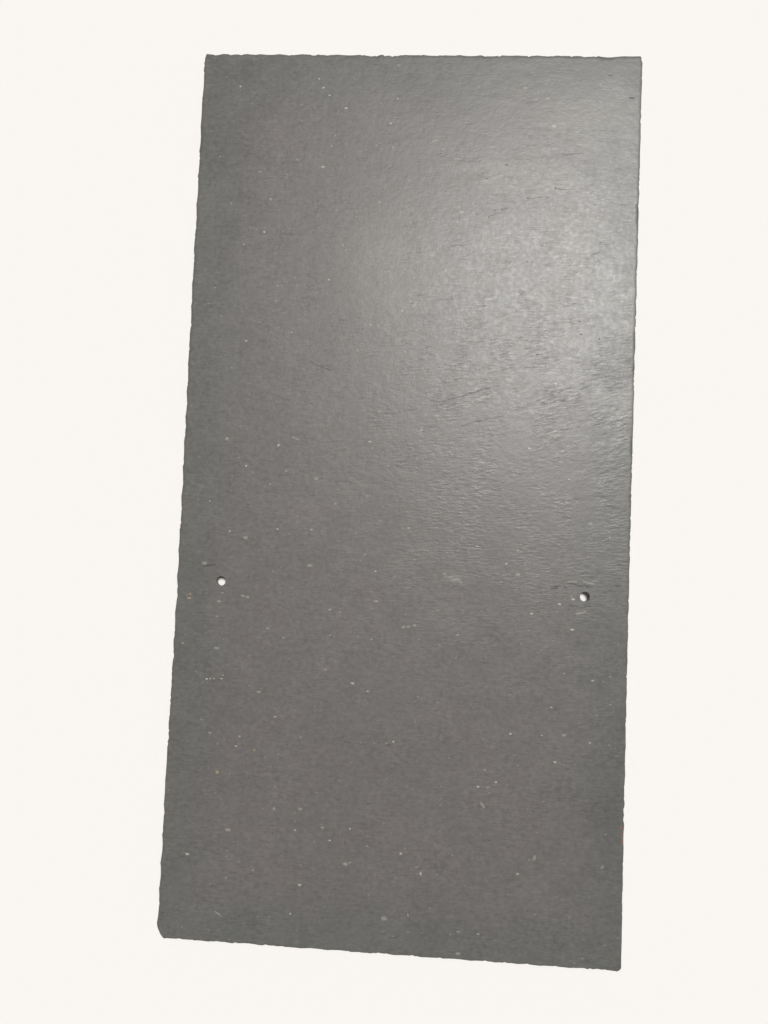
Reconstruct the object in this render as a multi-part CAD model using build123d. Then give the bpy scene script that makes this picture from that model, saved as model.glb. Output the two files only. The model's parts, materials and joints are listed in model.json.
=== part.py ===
from build123d import *
import math
import os

# Riven slate roof tile, one piece of stone, in millimetres.
# It lies on its weather face. Its back, the bed face, is up and its tail points along +Y.
# The origin is at the centre of the outline, on the face that it lies on.

# Slate
length = 500.0
width = 250.0
thickness = 5.5

# Slating: the nail holes follow from the lap of each course over the course but one below it
head_lap = 80.0
nail_margin = 13.9
nail_hole_diameter = 5.3
left_hole_inset = 25.6
right_hole_inset = 24.1

# Spall that the punch breaks out of the weather face round a nail hole
spall_width = 12.5
spall_depth = 2.2
side_spall_width = 10.0
side_spall_depth = 1.5
side_spall_offset = 4.5
side_spall_turn = 12.0

# Dressed edge, from the sheared land below the upper arris to the foot of the spalled bevel
land_height = 1.3
land_recess = 0.3
bevel_width = 3.0
bevel_hollow_height = 1.6
bevel_hollow_width = 1.5
scar_depth_at_land = 0.1
scar_depth_at_hollow = 0.7
scar_depth_at_foot = 1.3

# Flake scars along each dressed side: their pitch and their depth at the upper arris
left_scar_pitch = 16.1
left_scar_depth = 0.4
right_scar_pitch = 14.5
right_scar_depth = 0.2
tail_scar_pitch = 11.4
tail_scar_depth = 0.5
head_scar_pitch = 13.2
head_scar_depth = 0.3

# The long sides are a little hollow about their middle, and sway in towards the head and out towards
# the tail. The tail is a little full, and the head is out of square by what it lacks at its left end.
left_side_hollow = 0.5
left_side_sway = 0.3
right_side_hollow = 0.4
right_side_sway = 0.15
tail_fullness = 0.15
head_slant = 0.9

# Broken corners, as the length lost across the slate and the length lost along it. Each break
# bulges from its straight line by a share of its smaller loss.
tail_left_clip = (1.0, 9.0)
tail_right_clip = (1.1, 4.0)
head_right_clip = (2.0, 2.2)
head_left_clip = (4.2, 9.0)
corner_fullness = 0.2

# Irregularity of the scars, as a share of their mean pitch and depth
pitch_irregularity = 0.45
depth_irregularity = 0.6


def irregular(index, seed):
    """Return a repeatable irregular value from -1 to 1 for one scar of a side."""
    return 2.0 * ((math.sin(index * 12.9898 + seed * 78.233) * 437.585) % 1.0) - 1.0


class DressedSide:
    """One side of the outline, walked anticlockwise from the corner that it starts at."""

    def __init__(self, start, heading, run, pitch, depth, bow, sway, slant, clips, seed):
        self.start = Vector(*start)
        self.along = Vector(1, 0).rotate(Axis.Z, heading)
        self.inward = Vector(0, 1).rotate(Axis.Z, heading)
        self.run = run
        self.count = max(2, round(run / pitch))
        self.depth = depth
        self.bow = bow
        self.sway = sway
        self.slant = slant
        self.clips = clips
        self.seed = seed

    def share(self, index):
        """Return how far along the side the scar with this index starts, from 0 to 1."""
        if index in (0, self.count):
            return index / self.count
        shift = 0.5 * pitch_irregularity * irregular(index, self.seed)
        return (index + shift) / self.count

    def line_inset(self, share):
        """Return how far the side lies inside its straight line: hollow if bow is positive."""
        from_middle = (2.0 * share - 1.0) ** 2
        hollow = max(self.bow, 0.0) * (1.0 - from_middle) + self.sway * math.sin(2.0 * math.pi * share)
        full = max(-self.bow, 0.0) * from_middle
        return (1.0 - from_middle) * hollow + full + self.slant * (1.0 - share)

    def points(self, inset, extra_depth):
        """Return the ends and the deepest point of each scar, with the side moved in by inset."""
        first, last = self.clips
        low = first[0] + inset * math.tan(math.atan2(first[1], first[0]) / 2)
        high = self.run - last[0] - inset * math.tan(math.atan2(last[1], last[0]) / 2)
        ends = []
        for index in range(self.count + 1):
            share = self.share(index)
            place = self.start + self.along * (low + (high - low) * share)
            ends.append(place + self.inward * (inset + self.line_inset(share)))
        scars = []
        for index in range(self.count):
            spread = 1.0 + depth_irregularity * irregular(index, self.seed + 0.5)
            middle = (ends[index] + ends[index + 1]) / 2
            deepest = middle + self.inward * (self.depth + extra_depth) * spread
            scars.append((ends[index], deepest, ends[index + 1]))
        return scars


def along_first(clip):
    """Return a corner's clip with the length lost along the slate first."""
    return (clip[1], clip[0])


def dressed_sides():
    """Return the four sides of the slate, anticlockwise from the head's left corner."""
    left = -width / 2
    right = width / 2
    head = -length / 2
    tail = length / 2
    return [
        DressedSide((left, head), 0, width, head_scar_pitch, head_scar_depth,
                    0, 0, head_slant, (head_left_clip, head_right_clip), 363),
        DressedSide((right, head), 90, length, right_scar_pitch, right_scar_depth,
                    right_side_hollow, right_side_sway, 0,
                    (along_first(head_right_clip), along_first(tail_right_clip)), 2),
        DressedSide((right, tail), 180, width, tail_scar_pitch, tail_scar_depth,
                    -tail_fullness, 0, 0, (tail_right_clip, tail_left_clip), 336),
        DressedSide((left, tail), 270, length, left_scar_pitch, left_scar_depth,
                    left_side_hollow, -left_side_sway, 0,
                    (along_first(tail_left_clip), along_first(head_left_clip)), 91),
    ]


def outline(sides, height, inset, extra_depth):
    """Return the face of the slate at one height, bounded by its scars and broken corners."""
    walked = [side.points(inset, extra_depth) for side in sides]
    edges = []
    for number, scars in enumerate(walked):
        edges += [ThreePointArc(*scar) for scar in scars]
        corner_start = scars[-1][2]
        corner_end = walked[(number + 1) % len(walked)][0][0]
        outward = (corner_end - corner_start).normalized().rotate(Axis.Z, -90)
        bulge = corner_fullness * min(sides[number].clips[1])
        corner_middle = (corner_start + corner_end) / 2 + outward * bulge
        edges.append(ThreePointArc(corner_start, corner_middle, corner_end))
    return Pos(0, 0, height) * make_face(edges)


def dressed_slab():
    """Return the slab, lofted from the foot of its bevel up to its sharp upper arris."""
    sides = dressed_sides()
    hollow_inset = land_recess + bevel_hollow_width
    sections = [
        outline(sides, 0, land_recess + bevel_width, scar_depth_at_foot),
        outline(sides, bevel_hollow_height, hollow_inset, scar_depth_at_hollow),
        outline(sides, thickness - land_height, land_recess, scar_depth_at_land),
        outline(sides, thickness, 0, 0),
    ]
    return loft(sections, ruled=True)


def spall(center, cap_width, cap_depth):
    """Return the ball whose cap, of the given width and depth, breaks out of the underside."""
    half_width = cap_width / 2
    radius = (half_width**2 + cap_depth**2) / (2 * cap_depth)
    # The ball lies on its side, so that neither of its poles is on the broken surface
    return Pos(center.X, center.Y, cap_depth - radius) * Rot(90, 0, 0) * Sphere(radius)


def nail_hole(center, turn):
    """Return what the punch takes out: the hole, and the spalls round its mouth below."""
    through = 2 * thickness
    hole = Pos(center.X, center.Y, thickness / 2) * Cylinder(nail_hole_diameter / 2, through)
    reach = Vector(side_spall_offset, 0).rotate(Axis.Z, turn)
    spalls = [
        spall(center, spall_width, spall_depth),
        spall(center + reach, side_spall_width, side_spall_depth),
        spall(center - reach, side_spall_width, side_spall_depth),
    ]
    return [hole, *spalls]


def nail_holes():
    """Return the cuts of both nail holes, side by side above the lap."""
    gauge = (length - head_lap) / 2
    row = length / 2 - (gauge + head_lap + nail_margin)
    left_cuts = nail_hole(Vector(left_hole_inset - width / 2, row), side_spall_turn)
    right_cuts = nail_hole(Vector(width / 2 - right_hole_inset, row), -side_spall_turn)
    return left_cuts + right_cuts


def slate():
    """Return the whole tile."""
    return dressed_slab() - nail_holes()


os.makedirs("parts", exist_ok=True)
export_step(slate(), "parts/slate.step")
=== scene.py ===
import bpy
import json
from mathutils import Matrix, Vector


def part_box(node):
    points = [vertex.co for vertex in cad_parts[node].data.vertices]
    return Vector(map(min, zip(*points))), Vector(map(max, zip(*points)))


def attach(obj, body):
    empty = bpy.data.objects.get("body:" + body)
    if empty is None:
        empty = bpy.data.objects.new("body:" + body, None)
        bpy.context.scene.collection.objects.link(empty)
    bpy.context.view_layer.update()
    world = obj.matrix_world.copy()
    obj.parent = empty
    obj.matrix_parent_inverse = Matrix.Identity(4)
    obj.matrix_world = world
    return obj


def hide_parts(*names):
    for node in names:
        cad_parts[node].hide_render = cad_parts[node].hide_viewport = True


bl_info = {
    "name": "Riven slate roof tile",
    "version": (1, 0, 0),
    "blender": (4, 5, 0),
    "location": "3D View > Sidebar > Slate",
    "description": "Builds a riven, dressed and punched slate roof tile and a pale studio round it",
    "category": "Object",
}

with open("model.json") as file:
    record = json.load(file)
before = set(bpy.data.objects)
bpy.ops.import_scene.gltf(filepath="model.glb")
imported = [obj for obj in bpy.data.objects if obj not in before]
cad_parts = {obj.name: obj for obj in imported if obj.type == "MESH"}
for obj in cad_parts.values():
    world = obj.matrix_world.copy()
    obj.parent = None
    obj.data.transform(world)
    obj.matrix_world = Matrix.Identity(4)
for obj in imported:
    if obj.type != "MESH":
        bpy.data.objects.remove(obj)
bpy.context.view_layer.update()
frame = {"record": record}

import json
import math

import bpy
import numpy as np
from bpy.props import FloatProperty, FloatVectorProperty, IntProperty, PointerProperty
from mathutils import Euler, Vector

MM = 0.001
LOW, HIGH = (np.array(corner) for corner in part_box("slate"))
WIDTH, LENGTH, THICKNESS = HIGH - LOW
NAIL_HOLES = [mount for mount in frame["record"]["mounts"] if mount["kind"] == "bore"]

# Points along each flake scar, and cells across and along the bed face and the underside
SAMPLES_PER_SCAR = 24
TOP_CELLS = (160, 320)
BASE_CELLS = (80, 160)

# Cells from a nail hole to the edge of its block, the rings in the blocks of both faces, how they crowd
# towards the hole, and rows down the hole's wall
HOLE_HALF_CELLS = 5
TOP_RINGS = 9
BASE_RINGS = 14
RING_CROWDING = 1.5
WALL_ROWS = 6

# What is left of each corner's break where the sides are moved in past its end
LEAST_CLIP = 0.1 * MM

# Loops of the underside: how far inside the foot of the bevel, their share of its scars, and their step
# from point to point
BASE_LOOPS = ((4.5 * MM, 0.0, 4), (2.4 * MM, 0.4, 2), (0.7 * MM, 0.9, 1))

# Loops of the bed face: how far inside the arris, their share of its wear and of its chips, and their kind
ARRIS_LOOPS = ((0.0, 2.2, 1.0, 1), (0.14 * MM, 0.9, 0.6, 1), (0.5 * MM, 0.0, 0.25, 0))
BED_INSET = 1.9 * MM

# Noise of the riven relief: its cell, its share and its seed
SWELLS = ((95 * MM, 70 * MM, 1.0, 0), (42 * MM, 30 * MM, 0.5, 1))
RIPPLES = ((26 * MM, 9 * MM, 1.0, 2), (12 * MM, 4.5 * MM, 0.6, 3))
TERRACES = ((60 * MM, 24 * MM, 1.0, 4), (14 * MM, 6 * MM, 0.25, 5))

# Noise of the broken stone's roughness: its cell along the walk and up, its share and its seed
BREAKS = ((5.0 * MM, 1.6 * MM, 0.6, 60), (2.0 * MM, 0.7 * MM, 0.4, 61))

# How far the rows of points on the dressed edge waver up and down
ROW_WAVER = 0.25 * MM

# The arris is whole where the noise of its nibbles is below the first value, and bitten deepest where it
# is this much more; its chips start at the third and are full at the fourth
NIBBLE_START, NIBBLE_DEEPEST, CHIP_START, CHIP_FULL = 0.15, 1.7, 0.35, 0.9

# Noise of the arris's nibbles, and how strong they are on the head, the right side, the tail and the left
# side
NIBBLES = ((3.4 * MM, 1.0, 0.8, 51), (1.5 * MM, 1.0, 1.3, 52), (7.5 * MM, 1.0, 0.4, 54))
NIBBLE_SHARES = (1.2, 1.1, 2.6, 1.15)

# Breaks in the drawn lines: cells of their noise in a metre, and where it breaks a crack and a line
BREAK_SCALE = 340.0
CRACK_BREAKS = (0.27, 0.46)
LINE_BREAKS = (0.36, 0.56)

# Waver of the drawn lines: the cell of its noise and its reach, and a spot's reach up and down
WAVER_CELL = (3 * MM, 3 * MM, 3 * MM)
WAVER_REACH = (0.8 * MM, 1.5 * MM, 0.0)
SPOT_HEIGHT = 0.4 * MM

# Frayed edges of the marks: cells of their noise in a metre, and its reach in half sizes of the mark
FRAY_SCALE = 900.0
FRAY_REACH = 0.8

# Where a mark and a soft patch start and where they are full, in half sizes from their middle
MARK_EDGE = (1.35, 0.6)
PATCH_EDGE = (1.3, 0.0)

# Marks are placed with heights made smaller by this, so that the relief doesn't take them off the face
MARK_FLATTENING = 0.2

# Strength of the fine wrinkles by their clumps, in the height and in the tone: its slope and its start
CLUMPED_HEIGHT = (1.8, 0.1)
CLUMPED_TONE = (1.0, 0.4)

# Patches of colour, and how far the sides' painted shade and the large patches turn the stone a darker green
LARGE_PATCH = 38 * MM
SMALL_PATCH = 9 * MM
SHADE_BY_SIDES = 0.75
GREEN_BY_PATCHES = 0.25

# Length of pits, specks and dust grains across the slate, as their width divided by it
PIT_STRETCH = 0.45
SPECK_STRETCH = 0.55
DUST_STRETCH = 0.7

# Roughness that pits add, and the share of the marks' own that cracks and cleavage lines have
PIT_MATTING = 0.08
LINE_MATTING = 0.35

# How strongly riven and broken stone bend light
RIVEN_IOR = 1.46
BROKEN_IOR = 1.5

# Broken stone: how thin its laminae are, the sizes of its laminae, grit and patches of colour, the heights
# of its laminae and grit in millimetres, and the roughness of its dark patches and what pale ones add
LAMINA_FLATTENING = 9.0
LAMINA_SIZE = 3.2 * MM
BROKEN_GRIT_SIZE = 0.6 * MM
BROKEN_PATCH = 5 * MM
LAMINA_HEIGHT = 0.10
BROKEN_GRIT_HEIGHT = 0.03
BROKEN_ROUGHNESS = 0.62
PALE_MATTING = 0.12

# Grains of the broken stone: the size of their cells, their radius and the share of the cells with one
GRAIN_CELL = 3.0 * MM
GRAIN_RADIUS = 0.3 * MM
GRAIN_SHARE = 0.4

# Colours laid over the stone in turn, each with its share of its mask; the large dark patches are painted
# shade and the pale soft patches mostly painted sheen
LAYERS = (
    ("hairs", "dark", 0.28), ("crevices", "dark", 0.45), ("pits", "dark", 0.25), ("stains_and_shade", "dark", 0.15),
    ("scuff_and_sheen", "pale", 0.13), ("dark", "dark", 0.5), ("cracks", "dark", 0.75), ("lines", "dark", 0.45),
    ("pale_lines", "pale", 0.4), ("soft", "pale", 0.4), ("bright", "pale", 0.9),
    ("specks", "speck", 0.5), ("dust", "pale", 0.4), ("ochre", "ochre", 0.7), ("rust", "rust", 0.6),
)


def length_value(label, says, millimetres):
    """Return a property for a length, given in millimetres and kept in metres."""
    return FloatProperty(name=label, description=says, default=millimetres * MM, unit="LENGTH",
                         subtype="DISTANCE", precision=5)


def share_value(label, says, value):
    """Return a property for a plain number."""
    return FloatProperty(name=label, description=says, default=value, precision=3)


def colour_value(label, says, red, green, blue):
    """Return a property for a linear colour."""
    return FloatVectorProperty(name=label, description=says, default=(red, green, blue), size=3,
                               subtype="COLOR", min=0.0, max=1.0)


def angle_value(label, says, degrees):
    """Return a property for an angle, given in degrees and kept in radians."""
    return FloatProperty(name=label, description=says, default=math.radians(degrees), subtype="ANGLE",
                         precision=3)


def clip_value(label, says, across, along):
    """Return a property for what a broken corner has lost across and along the slate."""
    return FloatVectorProperty(name=label, description=says, default=(across * MM, along * MM),
                               size=2, subtype="XYZ", unit="LENGTH", precision=5)


class SlateSizes(bpy.types.PropertyGroup):
    """Sizes of the dressed sides, the broken corners, the bevel and the spalls."""

    left_pitch: length_value("Left scar pitch", "Mean width of the left side's flake scars", 16.1)
    left_depth: length_value("Left scar depth", "Mean depth of the left side's scars", 0.4)
    left_hollow: length_value("Left hollow", "How hollow the left side is", 0.5)
    left_sway: length_value("Left sway", "How far the left side sways in and out", 0.3)
    right_pitch: length_value("Right scar pitch", "Mean width of the right side's scars", 14.5)
    right_depth: length_value("Right scar depth", "Mean depth of the right side's scars", 0.2)
    right_hollow: length_value("Right hollow", "How hollow the right side is", 0.4)
    right_sway: length_value("Right sway", "How far the right side sways in and out", 0.15)
    tail_pitch: length_value("Tail scar pitch", "Mean width of the tail's flake scars", 11.4)
    tail_depth: length_value("Tail scar depth", "Mean depth of the tail's flake scars", 0.5)
    head_pitch: length_value("Head scar pitch", "Mean width of the head's flake scars", 13.2)
    head_depth: length_value("Head scar depth", "Mean depth of the head's flake scars", 0.3)
    tail_fullness: length_value("Tail fullness", "How full the tail is", 0.15)
    head_slant: length_value("Head slant", "What the head lacks at its left end", 0.9)
    tail_left_clip: clip_value("Tail left corner", "What this corner has lost", 1.0, 9.0)
    tail_right_clip: clip_value("Tail right corner", "What this corner has lost", 1.1, 4.0)
    head_right_clip: clip_value("Head right corner", "What this corner has lost", 2.0, 2.2)
    head_left_clip: clip_value("Head left corner", "What this corner has lost", 4.2, 9.0)
    corner_fullness: share_value("Corner fullness", "Bulge of a broken corner by its loss", 0.2)
    pitch_irregularity: share_value("Pitch irregularity", "Share of the pitch it varies by", 0.45)
    depth_irregularity: share_value("Depth irregularity", "Share of the depth it varies by", 0.6)

    land_height: length_value("Land height", "Height of the sheared land below the arris", 1.3)
    land_recess: length_value("Land recess", "How far the foot of the land is set in", 0.3)
    land_scar: length_value("Land scar", "Extra depth of the scars at the land's foot", 0.1)
    hollow_height: length_value("Bevel hollow height", "Height of the bevel's hollow", 1.6)
    hollow_width: length_value("Bevel hollow width", "How far the hollow is set in", 1.5)
    hollow_scar: length_value("Bevel hollow scar", "Extra depth of the scars there", 0.7)
    bevel_width: length_value("Bevel width", "How far the bevel's foot is set in", 3.0)
    foot_scar: length_value("Foot scar", "Extra depth of the scars at the bevel's foot", 1.3)

    spall_width: length_value("Spall width", "Width of the spall under a nail hole", 12.5)
    spall_depth: length_value("Spall depth", "Depth of the spall under a nail hole", 2.2)
    side_spall_width: length_value("Side spall width", "Width of the spalls beside it", 10.0)
    side_spall_depth: length_value("Side spall depth", "Depth of the spalls beside it", 1.5)
    side_spall_offset: length_value("Side spall offset", "Their distance from the hole", 4.5)
    side_spall_turn: angle_value("Side spall turn", "Their turn from +X", 12.0)


class SlateRelief(bpy.types.PropertyGroup):
    """Heights of the riven relief and of the broken stone."""

    level: length_value("Riven level", "Mean depth of the riven face under its highest point", 0.2)
    swell: length_value("Swell", "Height of the long swells of a riven face", 0.09)
    ripple: length_value("Ripple", "Height of the ripples that run with the grain", 0.010)
    step: length_value("Lamina step", "Height of the steps between laminae", 0.025)
    nibble: length_value("Nibble", "Depth of the small nibbles along the arris", 0.22)
    arris_drop: length_value("Arris drop", "How far the arris is worn down", 0.08)
    chip: length_value("Arris chip", "Depth of the chips along the arris", 0.25)
    break_roughness: length_value("Break roughness", "Roughness of the broken stone", 0.22)
    grain_rise: share_value("Grain rise", "Slope of the grain across the right half", 0.19)
    seed: IntProperty(name="Seed", description="Start of the relief's random draws", default=7)


class SlateFinish(bpy.types.PropertyGroup):
    """Sizes, heights and strengths of the patterns in the riven stone's material."""

    fine_run: length_value("Fine grain run", "Length of the fine grain lines", 4.6)
    fine_spacing: length_value("Fine grain spacing", "Spacing of the fine grain lines", 1.1)
    fine_height: length_value("Fine grain height", "Height of the fine grain lines", 0.034)
    clump_size: length_value("Clump size", "Size of the patches where the fine grain is strong", 13.0)
    broad_run: length_value("Broad grain run", "Length of the broad grain lines", 13.0)
    broad_spacing: length_value("Broad grain spacing", "Spacing of the broad grain lines", 4.2)
    broad_height: length_value("Broad grain height", "Height of the broad grain lines", 0.020)
    pebble_size: length_value("Pebbling size", "Size of the soft pebbling", 6.0)
    pebble_height: length_value("Pebbling height", "Height of the soft pebbling", 0.05)
    grit_size: length_value("Grit size", "Size of the grit", 2.6)
    grit_height: length_value("Grit height", "Height of the grit", 0.016)
    grit_tone: share_value("Grit tone", "How much the grit lightens and darkens the stone", 0.36)
    wrinkle_tone: share_value("Wrinkle tone", "How much the fine grain lightens and darkens it", 0.36)
    wrinkle_matting: share_value("Wrinkle matting", "How much the fine grain changes the roughness", 0.08)
    mark_matting: share_value("Mark matting", "How much rougher the dark spots are", 0.2)
    grit_matting: share_value("Grit matting", "How much the grit changes the roughness", 0.105)
    cloud_size: length_value("Cloud size", "Size of the faint clouds of tone", 12.0)
    cloud_tone: share_value("Cloud tone", "How much they lighten and darken the stone", 0.2)
    cloud_matting: share_value("Cloud matting", "How much they change the roughness", 0.055)
    hair_run: length_value("Hairline run", "Length of the hairlines", 36.0)
    hair_spacing: length_value("Hairline spacing", "Spacing of the hairlines", 7.5)
    hair_width: length_value("Hairline width", "Width of the hairlines", 0.22)
    hair_depth: length_value("Hairline depth", "Depth of the hairlines", 0.02)
    hair_share: share_value("Hairline share", "Share of the hairlines that shows", 0.6)
    crevice_run: length_value("Crevice run", "Length of the small crevices", 9.0)
    crevice_spacing: length_value("Crevice spacing", "Spacing of the small crevices", 4.5)
    crevice_width: length_value("Crevice width", "Width of the small crevices", 0.28)
    crevice_depth: length_value("Crevice depth", "Depth of the small crevices", 0.025)
    crevice_share: share_value("Crevice share", "Share of the crevices that shows", 0.6)
    pit_spacing: length_value("Pit spacing", "Spacing of the pits", 8.0)
    pit_radius: length_value("Pit radius", "Radius of the pits", 0.6)
    pit_depth: length_value("Pit depth", "Depth of the pits", 0.08)
    pit_share: share_value("Pit share", "Share of the places that have a pit", 0.3)
    speck_spacing: length_value("Speck spacing", "Spacing of the mineral specks", 7.0)
    speck_radius: length_value("Speck radius", "Radius of the mineral specks", 0.95)
    speck_share: share_value("Speck share", "Share of the places that have a speck", 0.22)
    dust_spacing: length_value("Dust spacing", "Spacing of the dust grains", 2.6)
    dust_radius: length_value("Dust radius", "Radius of the dust grains", 0.42)
    dust_share: share_value("Dust share", "Share of the places that have a dust grain", 0.35)
    roughness: share_value("Roughness", "Mean roughness of the riven stone", 0.374)


class SlateColours(bpy.types.PropertyGroup):
    """Colours of the stone, its minerals and its stains."""

    stone: colour_value("Stone", "Mean colour of the riven face", 0.1305, 0.1225, 0.1178)
    # Painted shade: this darker green also darkens the stone near the sides, as shade would; elsewhere it
    # gives the stone's own green patches
    green_and_shaded_stone: colour_value("Green stone", "Greener patches, near the sides", 0.108, 0.109, 0.103)
    warm_stone: colour_value("Warm stone", "Browner patches", 0.1355, 0.1225, 0.1178)
    broken: colour_value("Broken stone", "Freshly broken stone", 0.30, 0.29, 0.27)
    # The pale mineral also paints the sheen of the large pale patches
    pale: colour_value("Pale mineral", "Specks and scuffs", 0.42, 0.40, 0.36)
    ochre: colour_value("Ochre mineral", "Ochre specks", 0.36, 0.29, 0.17)
    rust: colour_value("Rust", "Rust spots on the right side", 0.26, 0.10, 0.05)
    # The dark colour also paints shade in the large soft patches
    dark: colour_value("Dark", "Pits, cracks and dark stains", 0.035, 0.033, 0.031)


class StudioSetting(bpy.types.PropertyGroup):
    """Camera, lamps and floor."""

    camera_place: FloatVectorProperty(name="Camera place", description="Above the upper face",
                                      default=(13.21 * MM, -34.67 * MM, 424.59 * MM), size=3,
                                      subtype="TRANSLATION", precision=5)
    camera_turn: FloatVectorProperty(name="Camera turn", description="Turn from looking straight down",
                                     default=[math.radians(d) for d in (3.1711, 3.0071, 2.3323)],
                                     size=3, subtype="EULER", precision=5)
    focal_share: share_value("Focal length", "Focal length by the picture's height", 770.0 / 1024.0)
    key_slope: FloatVectorProperty(name="Key slope", description="Way to the key lamp",
                                   default=(0.171, 0.342, 1.0), size=3, subtype="XYZ")
    key_level: share_value("Key level", "Share of a plain white that the key lamp gives", 0.80)
    key_angle: angle_value("Key angle", "Angular width of the key lamp", 16.0)
    key_colour: colour_value("Key colour", "Colour of the key lamp", 1.0, 0.985, 0.955)
    fill_level: share_value("Fill level", "Share of a plain white that the surroundings give", 0.16)
    floor: colour_value("Floor", "Colour of the floor", 0.995, 0.976, 0.964)
    floor_size: length_value("Floor size", "Side of the square floor", 8000.0)


def irregular(index, seed):
    """Repeatable values from -1 to 1: twice the fraction of 437.585 sin(12.9898 i + 78.233 s), less 1."""
    return 2.0 * np.mod(np.sin(index * 12.9898 + seed * 78.233) * 437.585, 1.0) - 1.0


def blend(low, high, value):
    """Smooth step from 0 at low to 1 at high: 3t^2 - 2t^3."""
    t = np.clip((value - low) / (high - low), 0.0, 1.0)
    return t * t * (3.0 - 2.0 * t)


def lattice_noise(x, y, cell_x, cell_y, seed):
    """Smooth noise from -1 to 1: random heights on a lattice, joined by 6t^5 - 15t^4 + 10t^3."""
    lattice = np.random.default_rng(seed).uniform(-1.0, 1.0, (256, 256))
    column, row = x / cell_x, y / cell_y
    left, lower = np.floor(column).astype(int), np.floor(row).astype(int)
    tx, ty = column - left, row - lower
    tx = tx**3 * (tx * (6.0 * tx - 15.0) + 10.0)
    ty = ty**3 * (ty * (6.0 * ty - 15.0) + 10.0)
    near = lattice[lower % 256, left % 256] * (1 - tx) + lattice[lower % 256, (left + 1) % 256] * tx
    upper = (lower + 1) % 256
    far = lattice[upper, left % 256] * (1 - tx) + lattice[upper, (left + 1) % 256] * tx
    return near * (1 - ty) + far * ty


def layered_noise(x, y, layers, seed):
    """Sum of several lattice noises, each with its own cell, share and seed."""
    return sum(share * lattice_noise(x, y, cell_x, cell_y, seed + number)
               for cell_x, cell_y, share, number in layers)


class DressedSide:
    """One side of the outline, walked anticlockwise: bowed, swaying, and bitten by flake scars."""

    def __init__(self, start, heading, run, pitch, depth, bow, sway, slant, clips, seed):
        self.start = np.array(start)
        self.along = np.array([math.cos(heading), math.sin(heading)])
        self.inward = np.array([-math.sin(heading), math.cos(heading)])
        self.run = run
        self.count = max(2, round(run / pitch))
        self.depth = depth
        self.bow = bow
        self.sway = sway
        self.slant = slant
        self.clips = clips
        self.seed = seed

    def line(self, sizes, inset, extra_depth):
        """Points of all scars at one level: each is a parabola of its depth between two ends."""
        first, last = self.clips
        low = first[0] + inset * math.tan(math.atan2(first[1], first[0]) / 2)
        high = last[0] + inset * math.tan(math.atan2(last[1], last[0]) / 2)
        low = max(low, inset + LEAST_CLIP)
        high = self.run - max(high, inset + LEAST_CLIP)
        index = np.arange(self.count + 1)
        shift = 0.5 * sizes.pitch_irregularity * irregular(index, self.seed)
        shift[[0, -1]] = 0.0
        share = (index + shift) / self.count
        from_middle = (2.0 * share - 1.0) ** 2
        hollow = max(self.bow, 0.0) * (1.0 - from_middle) + self.sway * np.sin(2.0 * math.pi * share)
        inside = (1.0 - from_middle) * hollow + max(-self.bow, 0.0) * from_middle
        inside += self.slant * (1.0 - share)
        ends = (self.start + np.outer(low + (high - low) * share, self.along)
                + np.outer(inset + inside, self.inward))
        spread = 1.0 + sizes.depth_irregularity * irregular(index[:-1], self.seed + 0.5)
        depth = (self.depth + extra_depth) * spread
        t = np.arange(SAMPLES_PER_SCAR) / SAMPLES_PER_SCAR
        chord = ends[:-1, None] * (1 - t)[None, :, None] + ends[1:, None] * t[None, :, None]
        scars = chord + (depth[:, None] * 4 * t * (1 - t))[..., None] * self.inward
        return scars.reshape(-1, 2), ends[-1]


def dressed_sides(sizes):
    """Return the four sides of the slate, anticlockwise from the head's left corner."""
    left, head = LOW[:2]
    right, tail = HIGH[:2]
    head_left, head_right = tuple(sizes.head_left_clip), tuple(sizes.head_right_clip)
    tail_left, tail_right = tuple(sizes.tail_left_clip), tuple(sizes.tail_right_clip)
    quarter = math.pi / 2
    return [
        DressedSide((left, head), 0, WIDTH, sizes.head_pitch, sizes.head_depth, 0, 0,
                    sizes.head_slant, (head_left, head_right), 363),
        DressedSide((right, head), quarter, LENGTH, sizes.right_pitch, sizes.right_depth,
                    sizes.right_hollow, sizes.right_sway, 0, (head_right[::-1], tail_right[::-1]), 2),
        DressedSide((right, tail), 2 * quarter, WIDTH, sizes.tail_pitch, sizes.tail_depth,
                    -sizes.tail_fullness, 0, 0, (tail_right, tail_left), 336),
        DressedSide((left, tail), 3 * quarter, LENGTH, sizes.left_pitch, sizes.left_depth,
                    sizes.left_hollow, -sizes.left_sway, 0, (tail_left[::-1], head_left[::-1]), 91),
    ]


def outline_loop(sides, sizes, inset, extra_depth):
    """Closed outline at one level, from the middle of the head's left corner, and its corners' places.

    Between two sides a corner is a parabola over its chord. Its fullness is a share of its smaller
    loss, or of twice its chord where that is less.
    """
    lines = [side.line(sizes, inset, extra_depth) for side in sides]
    t = (np.arange(SAMPLES_PER_SCAR) / SAMPLES_PER_SCAR)[:, None]
    parts = []
    middles = []
    total = 0
    for number, (points, end) in enumerate(lines):
        chord = lines[(number + 1) % 4][0][0] - end
        span = np.linalg.norm(chord)
        outward = np.array([chord[1], -chord[0]]) / span
        bulge = sizes.corner_fullness * min(*sides[number].clips[1], 2 * span)
        corner = end + chord * t + outward * bulge * 4 * t * (1 - t)
        parts += [points, corner]
        middles.append(total + len(points) + SAMPLES_PER_SCAR // 2)
        total += len(points) + SAMPLES_PER_SCAR
    loop = np.concatenate(parts)
    start = middles[-1]
    places = [0] + [middle - start + total for middle in middles[:-1]] + [total]
    return np.roll(loop, -start, axis=0), places


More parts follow.
